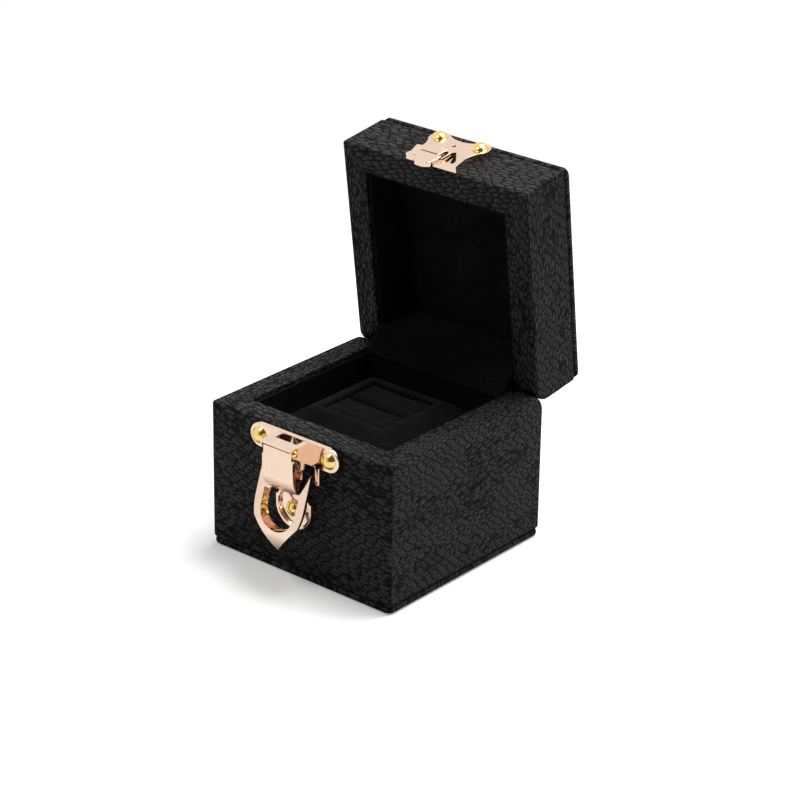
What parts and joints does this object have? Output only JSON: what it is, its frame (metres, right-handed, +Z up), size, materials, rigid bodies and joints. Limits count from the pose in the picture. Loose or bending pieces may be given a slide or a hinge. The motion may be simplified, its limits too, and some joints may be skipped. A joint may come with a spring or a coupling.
{
  "type": "ring display box",
  "caption": "Leather-wrapped ring box with a hinged lid, padded ring slot and a lever lock with a pull ring.",
  "frame": {"origin": "centre of the underside, on the surface the box stands on", "axes": "+Z up, -Y towards the lock, +X to the right seen from the front"},
  "size_m": [0.065, 0.0909, 0.1105],
  "materials": {
    "leather": "pebbled, satin",
    "suede": "brushed, matte",
    "board": "raw board",
    "foam": "matte foam",
    "rose_gold": "polished rose-gold plate",
    "gold": "polished",
    "steel": "satin"
  },
  "bodies": {
    "base": {"underlay": "suede", "bottom_plate": "leather", "base_floor_board": "board", "base_front_board": "board", "base_rear_board": "board", "base_side_boards": "board", "base_leather": "leather", "base_lining": "suede", "pad_support": "foam", "pad_collar": "suede", "pad_roll_front": "suede", "pad_roll_rear": "suede", "hinge_leaf_base": "steel", "hinge_pin": "steel", "hinge_screws_base": "steel", "hinge_strip": "suede", "lock_back_plate": "rose_gold", "lock_housing": "rose_gold", "lock_screws": "gold", "lever_pin": "gold", "lever_spring": "steel", "keeper_plate": "rose_gold", "keeper_screw": "gold"},
    "lever": {"lever_plate": "rose_gold", "pull_ring": "rose_gold"},
    "lid": {"lid_front_board": "board", "lid_rear_board": "board", "lid_side_boards": "board", "lid_inner_board": "board", "lid_cover_plate": "leather", "lid_leather": "leather", "lid_lining": "suede", "lid_panel": "suede", "hinge_leaf_lid": "steel", "hinge_screws_lid": "steel", "strike_plate": "rose_gold", "strike_tongue": "rose_gold", "strike_screws": "gold"}
  },
  "joints": [
    {"name": "lid_hinge", "type": "hinge", "parent": "base", "child": "lid", "pos_m": [0, 0.0292, 0.0441], "axis": [1, 0, 0], "range_deg": [0, 82.4], "deforming": ["hinge_strip"]},
    {"name": "lever_hinge", "type": "hinge", "parent": "base", "child": "lever", "pos_m": [-0.0006, -0.0394, 0.04175], "axis": [-1, 0, 0], "range_deg": [0, 35]}
  ]
}
